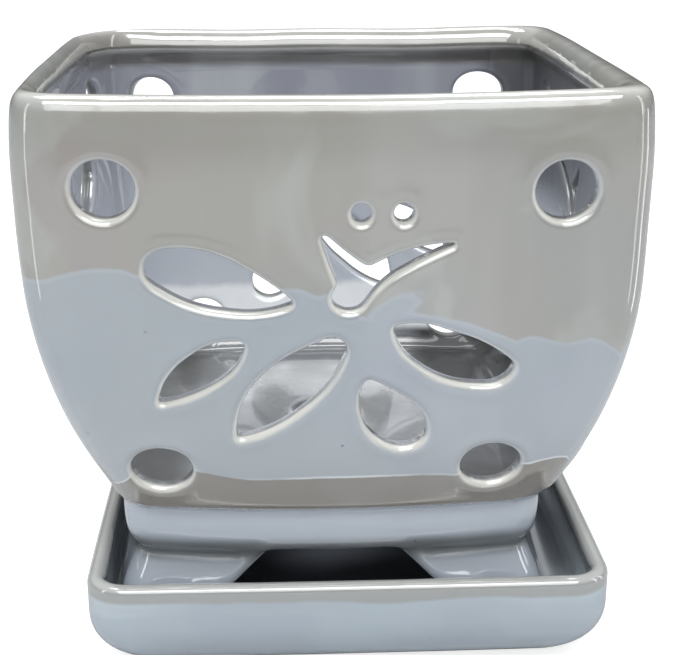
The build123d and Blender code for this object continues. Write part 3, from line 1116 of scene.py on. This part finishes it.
# Colours as a screen shows them, levels and places in metres. A fade runs from its first number to its
# second, and from its third to its fourth in strength.
potPaint = {
    "colours": {
        "upper": (146, 144, 138),
        "upperCool": (138, 141, 141),
        "upperRose": (148, 142, 139),
        "upperPale": (158, 160, 154),
        "lower": (150, 157, 162),
        "lowerLilac": (145, 150, 163),
        "lowerPale": (160, 166, 170),
        "baseBand": (130, 126, 120),
        "foot": (168, 175, 185),
        # painted shade for the crease at the waist
        "creaseShade": (98, 101, 100),
        "inside": (148, 150, 160),
        "insideLow": (186, 191, 200),
        "insideFloor": (98, 101, 104),
        # painted shade inside, deeper towards the right
        "insideShade": (66, 67, 67),
        "insideShadeDeep": (44, 45, 46),
        # painted reflection: glare on the back wall inside
        "insideGlare": (240, 242, 243),
        "lipShade": (98, 94, 88),
        # painted shade, near black, for the hollow underneath the pot
        "underneath": (44, 44, 48),
        "cream": (204, 203, 196),
        "creamCool": (196, 200, 202),
        # painted shade through the openings' walls
        "tunnel": (96, 98, 100),
        "bare": (196, 184, 166),
        "bareDark": (173.4, 165.7, 153.3),
        "pinhole": (92, 88, 84),
    },
    "broad": (9.0, 2.0),     # the grain of each pattern: scale, detail, roughness, stretch, distortion
    "cloud": (26.0, 4.0, 0.55),
    "patches": (17.0, 3.0, 0.6, None, 1.2),
    "runs": (34.0, 3.0, 0.5, (1.0, 1.0, 0.12)),
    "coolFade": (0.38, 0.62),
    "roseFade": (0.5, 0.72, 0.0, 0.7),
    "patchFade": (0.52, 0.6, 0.0, 0.55),
    "lilacFade": (0.36, 0.64),
    "lowerPaleFade": (0.095, 0.062, 0.0, 0.8),
    "meetingWander": 1.0,    # how far the meeting of the glazes wanders, in mm
    "meetingGrain": (120.0, 3.0, 0.6),
    "meetingSoft": 0.5,
    "seamMiddle": -0.5,      # the faint pale line just below the meeting
    "seamFade": (0.9, 0.1, 0.0, 0.1),
    "bandSoft": 0.35,
    "bandWander": 0.6,       # share of the same wandering
    "wireMiddle": 0.2,       # the pale line along the band, here and there
    "wireFade": (0.55, 0.1),
    "wireGrain": (30.0,),
    "wireDrift": (0.42, 0.6),
    "footFade": (0.0468, 0.0452),
    "creaseLevel": 0.0322,
    "creaseFade": (0.0052, 0.0016, 0.0, 0.85),
    "within": (0.55, 0.95),
    "outsideRuns": (0.45, 0.75, 0.0, 0.12),
    "insideRuns": (0.52, 0.7, 0.0, 0.25),
    "insideFade": (0.138, 0.085),
    "floorFade": (0.062, 0.052),
    "cornerMiddle": -0.004,  # painted shade in the corners inside, low down
    "cornerOut": (0.028, 0.042),
    "cornerFade": (0.066, 0.056),
    "wallOut": (0.052, 0.062),       # painted shade on the top of the right wall inside
    "wallFade": (0.1, 0.115, 0.0, 0.7),
    "darkerFrom": (0.0, 0.02),
    "dullFloor": (0.056, 0.053, 0.0, 0.5),
    "dullRough": 0.4,
    "dullCoat": (0.0, 1.0, 1.0, 0.25),
    "paleTop": (0.0735, 0.0705),     # painted reflection: a pale band of glare on the back's inside
    "paleLow": (0.0555, 0.0585),
    "paleBack": (0.05, 0.056, 0.0, 0.85),
    "paleOut": (0.046, 0.036),
    "paleWander": 0.004,
    "paleGrain": (70.0, 4.0, 0.7),
    "lipLevel": 0.1497,
    "lipFade": (0.0042, 0.0012, 0.0, 0.8),
    "underFade": (0.0455, 0.0435),
    "edgeWide": 0.8,         # the thin pale glaze along an opening, in mm
    "edgeGatherAndLit": 0.35,      # how much wider it is on the low side, partly gathered glaze, partly painted highlight
    "edgeWander": 1.2,
    "edgeGrain": (90.0,),
    "edgeSoft": (0.5, -0.5),
    "edgeIn": (0.75, 0.3),
    "edgeUnder": (-0.9, 0.3, 0.6, 0.9),
    "creamUnder": (-0.3, 0.5),
    "crestFade": (0.35, 0.65, 0.1, 0.45),
    "tunnelShare": 0.75,
    "tunnelIn": (0.02, 0.3),
    "tunnelEdge": (0.25, 0.02),
    "specks": (110.0, 0.06, 22.0),   # cells, radius and drifts
    "speckShare": 0.3,
    "bareGrain": (160.0, 3.0),
    "bareRough": (0.2, 0.8, 0.0, 0.7),
    "roughness": (0.3, 0.7, 0.063, 0.126),
    "ripple": 0.0011,
    "rippleGrain": (30.0, 1.0, 0.4),
    "rippleCalm": (0.4, 0.8, 1.0, 0.1),      # less of it inside
    "fineRipple": 0.00016,
    "fineGrain": (130.0,),
    "pinholeDeep": 0.0003,
    "rimRipple": 0.0012,
    "rimGrain": (48.0, 2.0, 0.6),
    "rimFade": (0.148, 0.154),
    "coat": {"Coat Weight": 1.0, "Coat Roughness": 0.03, "Coat IOR": 1.85},
}


def outsideGlaze(p, c, cloud):
    # Two glazes that meet in a wandering line, a darker band round the bowl's base, the foot, and painted
    # shade in the crease at the waist
    g = potPaint
    broad = p.noise(*g["broad"])
    upper = p.layered(c["upper"],
                      (p.fade(broad, *g["coolFade"]), c["upperCool"]),
                      (p.fade(cloud, *g["roseFade"]), c["upperRose"]),
                      (p.fade(p.noise(*g["patches"]), *g["patchFade"]), c["upperPale"]))
    lower = p.layered(c["lower"],
                      (p.fade(broad, *g["lilacFade"]), c["lowerLilac"]),
                      (p.fade(p.level, *g["lowerPaleFade"]), c["lowerPale"]))
    wander = p.wander(g["meetingWander"], *g["meetingGrain"])
    meeting = p.plus(p.attribute("meeting"), wander)
    band = p.plus(p.attribute("band"), p.times(wander, g["bandWander"]))
    wire = p.times(p.fade(p.off(band, g["wireMiddle"]), *g["wireFade"]),
                   p.fade(p.noise(*g["wireGrain"]), *g["wireDrift"]))
    return p.layered(lower,
                     (p.fade(meeting, -g["meetingSoft"], g["meetingSoft"]), upper),
                     (p.fade(p.off(meeting, g["seamMiddle"]), *g["seamFade"]), c["creamCool"]),
                     (p.fade(band, g["bandSoft"], -g["bandSoft"]), c["baseBand"]),
                     (wire, c["creamCool"]),
                     (p.fade(p.level, *g["footFade"]), c["foot"]),
                     # Painted shade in the concave crease at the waist
                     (p.fade(p.off(p.level, g["creaseLevel"]), *g["creaseFade"]), c["creaseShade"]))


def insideGlaze(p, c, runs):
    # Paler downwards, with painted shade in the low corners, high on the right and in the hollow underneath,
    # and a painted reflection as a pale band on the back; also where the glaze is dull
    g = potPaint
    corners = p.times(p.fade(p.level, *g["cornerFade"]),
                      p.fade(p.off(p.across, g["cornerMiddle"]), *g["cornerOut"]))
    wall = p.times(p.fade(p.across, *g["wallOut"]), p.fade(p.level, *g["wallFade"]))
    shaded = p.most(corners, wall)
    # A pale band painted on the back wall inside as a reflection of glare
    uneven = p.plus(p.level, p.wander(g["paleWander"], *g["paleGrain"]))
    pale = p.times(p.fade(uneven, *g["paleTop"]), p.fade(p.level, *g["paleLow"]),
                   p.fade(p.deep, *g["paleBack"]), p.fade(p.across, *g["paleOut"]))
    # Painted shade, deeper towards the right
    paintedShade = p.colour(p.fade(p.across, *g["darkerFrom"]), c["insideShade"], c["insideShadeDeep"])
    inside = p.layered(c["inside"],
                       (p.fade(p.level, *g["insideFade"]), c["insideLow"]),
                       (p.fade(p.level, *g["floorFade"]), c["insideFloor"]),
                       (p.fade(runs, *g["insideRuns"]), c["creamCool"]),
                       # Painted shade in the low corners and high on the right wall inside
                       (shaded, paintedShade),
                       # Painted reflection on the back wall inside
                       (pale, c["insideGlare"]),
                       (p.fade(p.off(p.level, g["lipLevel"]), *g["lipFade"]), c["lipShade"]),
                       # Painted shade in the hollow underneath the pot
                       (p.fade(p.level, *g["underFade"]), c["underneath"]))
    return inside, p.most(shaded, p.fade(p.level, *g["dullFloor"]))


def potGlaze():
    g = potPaint
    c = inLight(g["colours"])
    p = Paint("potGlaze")
    edge, under, crest, inner, sole = (p.attribute(mark) for mark in Shell.marks)
    cloud, runs = p.noise(*g["cloud"]), p.noise(*g["runs"])
    inside, dull = insideGlaze(p, c, runs)
    within = p.fade(inner, *g["within"])
    dull = p.times(dull, within)
    # The glaze runs thin along the openings and over the rim's crests, and is darkened through the wall as
    # painted shade
    # Wider and stronger on the openings' low sides: partly glaze gathered there, partly painted highlight on
    # the upturned edges
    wide = p.plus(g["edgeWide"], p.times(p.most(under, 0.0), g["edgeGatherAndLit"]))
    wide = p.plus(wide, p.wander(g["edgeWander"], *g["edgeGrain"]))
    thin = p.times(p.fade(p.sum("SUBTRACT", edge, wide), *g["edgeSoft"]), p.fade(inner, *g["edgeIn"]),
                   p.fade(under, *g["edgeUnder"]))
    # Painted shade through the wall of each opening
    tunnel = p.times(p.fade(inner, *g["tunnelIn"]), p.fade(edge, *g["tunnelEdge"]), g["tunnelShare"])
    specks = p.specks(*g["specks"])
    body = p.layered(outsideGlaze(p, c, cloud),
                     (within, inside),
                     (p.fade(runs, *g["outsideRuns"]), c["creamCool"]),
                     (thin, p.colour(p.fade(under, *g["creamUnder"]), c["creamCool"], c["cream"])),
                     (p.times(crest, p.fade(cloud, *g["crestFade"])), c["cream"]),
                     (tunnel, c["tunnel"]),
                     (p.times(specks, g["speckShare"]), c["pinhole"]),
                     (sole, p.colour(p.noise(*g["bareGrain"]), c["bare"], c["bareDark"])))

    broadly = p.times(p.noise(*g["rippleGrain"]), p.fade(inner, *g["rippleCalm"]))
    onRim = p.times(p.noise(*g["rimGrain"]), p.fade(p.level, *g["rimFade"]))
    ripple = p.bump(broadly, g["ripple"])
    ripple = p.bump(p.noise(*g["fineGrain"]), g["fineRipple"], ripple)
    ripple = p.bump(p.times(specks, -1.0), g["pinholeDeep"], ripple)
    ripple = p.bump(onRim, g["rimRipple"], ripple)
    roughness = p.plus(p.fade(sole, *g["bareRough"]), p.fade(cloud, *g["roughness"]))
    roughness = p.plus(roughness, p.times(dull, g["dullRough"]))
    coat = {**g["coat"], "Coat Weight": p.fade(dull, *g["dullCoat"])}
    return p.finish(body, ripple, roughness, **coat)


saucerPaint = {
    "colours": {
        "body": (160, 169, 178),
        "bodyCool": (165, 176, 184),
        "bodyPale": (178, 187, 193),
        "rim": (151, 153, 151),
        "rimPale": (184, 185, 181),
        # painted light on the saucer's inner wall, which the pot shades
        "gutterLit": (198, 206, 214),
        # painted shade for the floor under the pot
        "floor": (92, 96, 104),
        "under": (196, 184, 166),
        "pinhole": (97.2, 97.2, 97.2),
    },
    "cloud": (24.0, 3.0),
    "coolFade": (0.35, 0.68),
    "streaks": (30.0, 2.0, 0.5, (0.3, 0.3, 3.0)),
    "streakFade": (0.48, 0.62, 0.0, 0.6),
    "rimBand": (0.0226, 0.0240),     # the rim's colour runs down to here
    "rimWander": 0.0034,
    "rimGrain": (38.0, 3.0),
    "rimPaleFade": (0.0263, 0.0274, 0.0, 0.6),
    "gutterFade": (0.0235, 0.0215),
    "gutterOut": (0.0668, 0.0662),
    "floorFade": (0.0125, 0.0085),
    "floorOut": (0.0625, 0.0585),
    "underFade": (0.0006, 0.0002),
    "specks": (100.0, 0.06, 18.0),
    "speckShare": 0.3,
    "roughness": (0.3, 0.7, 0.08, 0.14),
    "ripple": 0.0009,
    "rippleGrain": (26.0, 1.0, 0.4),
    "fineRipple": 0.00012,
    "fineGrain": (140.0,),
}


def saucerGlaze():
    g = saucerPaint
    c = inLight(g["colours"])
    p = Paint("saucerGlaze")
    cloud = p.noise(*g["cloud"])
    uneven = p.plus(p.level, p.wander(g["rimWander"], *g["rimGrain"]))
    reach = p.most(p.off(p.across, saucerForm["middle"] * mm), p.off(p.deep))
    # Painted light: the inner wall, shaded by the pot, painted paler to stand in for reflections
    wall = p.times(p.fade(p.level, *g["gutterFade"]), p.fade(reach, *g["gutterOut"]))
    # Painted shade: the floor under the pot painted dark
    floor = p.times(p.fade(p.level, *g["floorFade"]), p.fade(reach, *g["floorOut"]))
    body = p.layered(c["body"],
                     (p.fade(cloud, *g["coolFade"]), c["bodyCool"]),
                     (p.fade(p.noise(*g["streaks"]), *g["streakFade"]), c["bodyPale"]),
                     (p.fade(uneven, *g["rimBand"]), c["rim"]),
                     (wall, c["gutterLit"]),
                     (floor, c["floor"]),
                     (p.fade(p.level, *g["rimPaleFade"]), c["rimPale"]),
                     (p.fade(p.level, *g["underFade"]), c["under"]),
                     (p.times(p.specks(*g["specks"]), g["speckShare"]), c["pinhole"]))
    ripple = p.bump(p.noise(*g["rippleGrain"]), g["ripple"])
    ripple = p.bump(p.noise(*g["fineGrain"]), g["fineRipple"], ripple)
    return p.finish(body, ripple, p.fade(cloud, *g["roughness"]), **potPaint["coat"])


pot = makePot()
pot.data.materials.append(potGlaze())
saucer = makeSaucer()
saucer.data.materials.append(saucerGlaze())
report("glazed")

# Camera, floor and light
cameraForm = {
    "place": (-0.01382, -0.39830, 0.20663),
    "down": 0.31474,
    "aside": 0.0451,
    "pixels": 1378.25,       # focal length in pixels of the 679 wide picture
    "imageWidth": 679,
    "sensor": 36.0,
    "clipStart": 0.01,
}
view = bpy.data.cameras.new("camera")
view.sensor_width = cameraForm["sensor"]
view.lens = cameraForm["pixels"] / cameraForm["imageWidth"] * cameraForm["sensor"]
view.clip_start = cameraForm["clipStart"]
camera = placed("camera", view)
camera.location = cameraForm["place"]
camera.rotation_euler = (pi / 2 - cameraForm["down"], 0, -cameraForm["aside"])
bpy.context.scene.camera = camera

floorForm = {
    "half": 4.0,
    "paint": (0.80, 0.81, 0.83),
    "reflected": (0.40, 0.41, 0.42),     # the same floor as the glaze mirrors it
    "lift": 0.80,            # how white the floor already is in the camera's eye, before any light on it
    "shade": 0.42,           # how much of the light on it is added, so that the shadow stays
    "roughness": 0.9,
}


def makeFloor():
    f = floorForm
    mesh = bpy.data.meshes.new("floor")
    mesh.from_pydata([(x * f["half"], y * f["half"], 0) for x, y in ((-1, -1), (1, -1), (1, 1), (-1, 1))],
                     [], [(0, 1, 2, 3)])
    floor = placed("floor", mesh)
    p = Paint("floorPaint")
    p.plug(p.shader.inputs["Base Color"], (*f["paint"], 1.0))
    p.plug(p.shader.inputs["Roughness"], f["roughness"])
    p.plug(p.shader.inputs["Specular IOR Level"], 0.0)
    shade = p.add("ShaderNodeBsdfDiffuse", 0, {"Color": (f["shade"], f["shade"], f["shade"], 1.0)})
    lift = p.add("ShaderNodeEmission", 0, {"Color": (1.0, 1.0, 1.0, 1.0), "Strength": f["lift"]})
    seen = p.add("ShaderNodeAddShader", 0, {0: shade, 1: lift})
    rays = p.tree.nodes.new("ShaderNodeLightPath").outputs
    dim = p.add("ShaderNodeBsdfDiffuse", 0, {"Color": (*f["reflected"], 1.0)})
    other = p.add("ShaderNodeMixShader", 0, {0: rays["Is Glossy Ray"], 1: p.shader.outputs[0], 2: dim})
    both = p.add("ShaderNodeMixShader", 0, {0: rays["Is Camera Ray"], 1: other, 2: seen})
    p.plug(p.tree.nodes["Material Output"].inputs["Surface"], both)
    floor.data.materials.append(p.material)


roomForm = {
    "above": (0.95, 0.98, 1.0),
    "level": (0.16, 0.16, 0.15),
    "climb": (0.05, 0.75),   # from the level's light to the light above
    "strength": 0.9,
}


def makeRoom():
    f = roomForm
    world = bpy.data.worlds.new("room")
    bpy.context.scene.world = world
    world.use_nodes = True
    n = Nodes(world.node_tree)
    up = n.add("ShaderNodeSeparateXYZ", "Z", {0: n.add("ShaderNodeTexCoord", "Generated", {})})
    sky = n.colour(n.fade(up, *f["climb"]), f["level"], f["above"])
    light = n.tree.nodes["Background"]
    n.plug(light.inputs["Color"], sky)
    n.plug(light.inputs["Strength"], f["strength"])
    white = n.add("ShaderNodeBackground", 0, {"Color": (1.0, 1.0, 1.0, 1.0), "Strength": 1.0})
    seen = n.add("ShaderNodeLightPath", "Is Camera Ray", {})
    both = n.add("ShaderNodeMixShader", 0, {0: seen, 1: light.outputs[0], 2: white})
    n.plug(n.tree.nodes["World Output"].inputs["Surface"], both)


# Each soft lamp's place, power, width and height in metres, and whether it lights the clay too or is
# only mirrored by the glaze
lampForm = {
    "lampFront": ((0.0, -0.95, 1.35), 13.0, 1.3, 0.45, True),
    "lampAbove": ((-0.1, 0.25, 1.35), 14.0, 1.0, 0.5, True),
    "windowLeft": ((-1.25, -0.55, 0.55), 0.9, 0.16, 0.9, True),
    "windowRight": ((1.25, -0.35, 0.60), 1.1, 0.16, 0.9, True),
    "windowFront": ((0.0, -1.25, 0.85), 5.0, 1.1, 0.55, False),
    "stripRight": ((0.30, -0.13, 0.07), 0.028, 0.016, 0.24, False),
    "stripRightBack": ((0.29, -0.04, 0.08), 0.03, 0.02, 0.16, False),
    "stripLeft": ((-0.30, -0.16, 0.06), 0.028, 0.014, 0.26, False),
}
lampTarget = Vector((0, 0, 0.08))


def hangLamps():
    for name, (place, power, width, height, lights) in lampForm.items():
        lamp = bpy.data.lights.new(name, "AREA")
        lamp.shape = "RECTANGLE"
        lamp.energy = power
        lamp.size, lamp.size_y = width, height
        holder = placed(name, lamp)
        holder.location = place
        holder.rotation_euler = (lampTarget - Vector(place)).to_track_quat("-Z", "Y").to_euler()
        holder.visible_diffuse = lights


makeFloor()
makeRoom()
hangLamps()
report("floor, room and lamps set")

bpy.context.scene.view_settings.view_transform = "Standard"
